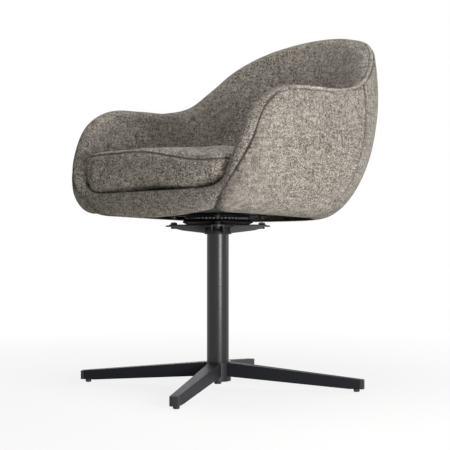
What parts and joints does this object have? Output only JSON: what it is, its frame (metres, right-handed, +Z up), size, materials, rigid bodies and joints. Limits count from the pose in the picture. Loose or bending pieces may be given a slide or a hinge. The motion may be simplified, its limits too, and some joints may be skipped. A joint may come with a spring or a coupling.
{
  "type": "swivel chair",
  "caption": "Upholstered tub chair with a loose seat cushion, turning on a ball-bearing plate over a round column and a crossed metal base.",
  "frame": {"origin": "on the swivel axis, at floor level", "axes": "+Z up along the swivel axis, the seat faces -Y, +X is the sitter's left"},
  "size_m": [0.6018, 0.6534, 0.8348],
  "materials": {
    "coated_steel": "satin charcoal powder coat",
    "black_steel": "black oxide and satin lacquer",
    "zinc_steel": "bright zinc plate",
    "ball_steel": "polished bearing steel",
    "black_plastic": "fine-grained moulded black plastic",
    "nylon": "natural nylon",
    "plywood": "bare sanded plywood",
    "lining_cloth": "thin black non-woven lining",
    "cover_fabric": "coarse grey-taupe melange weave with light and dark flecks"
  },
  "bodies": {
    "base": {"base_arm_front": "coated_steel", "base_arm_left": "coated_steel", "base_arm_back": "coated_steel", "base_arm_right": "coated_steel", "end_cap_front": "black_plastic", "end_cap_left": "black_plastic", "end_cap_back": "black_plastic", "end_cap_right": "black_plastic", "glide_front": "black_plastic", "glide_left": "black_plastic", "glide_back": "black_plastic", "glide_right": "black_plastic", "hub_socket": "coated_steel", "hub_cover_ring": "coated_steel", "column_tube": "coated_steel", "column_end_plate": "zinc_steel", "column_bolt": "zinc_steel", "column_washer": "zinc_steel", "top_boss": "coated_steel", "spider_plate": "coated_steel", "spider_bolts": "black_steel", "spider_nuts": "black_steel", "lower_race_plate": "black_steel", "king_pin": "zinc_steel", "king_pin_washer": "zinc_steel", "king_pin_nut": "zinc_steel"},
    "ball_ring": {"ball_cage": "black_steel", "bearing_balls": "ball_steel"},
    "seat": {"upper_race": "black_steel", "upper_plate": "black_steel", "pivot_bush": "nylon", "seat_bolts": "black_steel", "spacer_bushes": "black_steel", "t_nuts": "zinc_steel", "seat_board": "plywood", "dust_cover": "lining_cloth", "shell_ply": "plywood", "shell_screws": "zinc_steel", "seat_deck": "lining_cloth", "outer_side_left": "cover_fabric", "outer_side_right": "cover_fabric", "outer_back": "cover_fabric", "inner_pad": "cover_fabric", "front_apron": "cover_fabric", "rim_welt": "cover_fabric", "seat_cushion": "cover_fabric", "cushion_welt": "cover_fabric"}
  },
  "joints": [
    {"name": "seat_swivel", "type": "hinge", "parent": "base", "child": "seat", "pos_m": [0, 0, 0.38], "axis": [0, 0, 1], "continuous": true},
    {"name": "ball_ring_turn", "type": "hinge", "parent": "base", "child": "ball_ring", "pos_m": [0, 0, 0.38], "axis": [0, 0, 1], "continuous": true}
  ],
  "couplings": [
    {"joint": "ball_ring_turn", "follows": "seat_swivel", "ratio": 0.5}
  ]
}
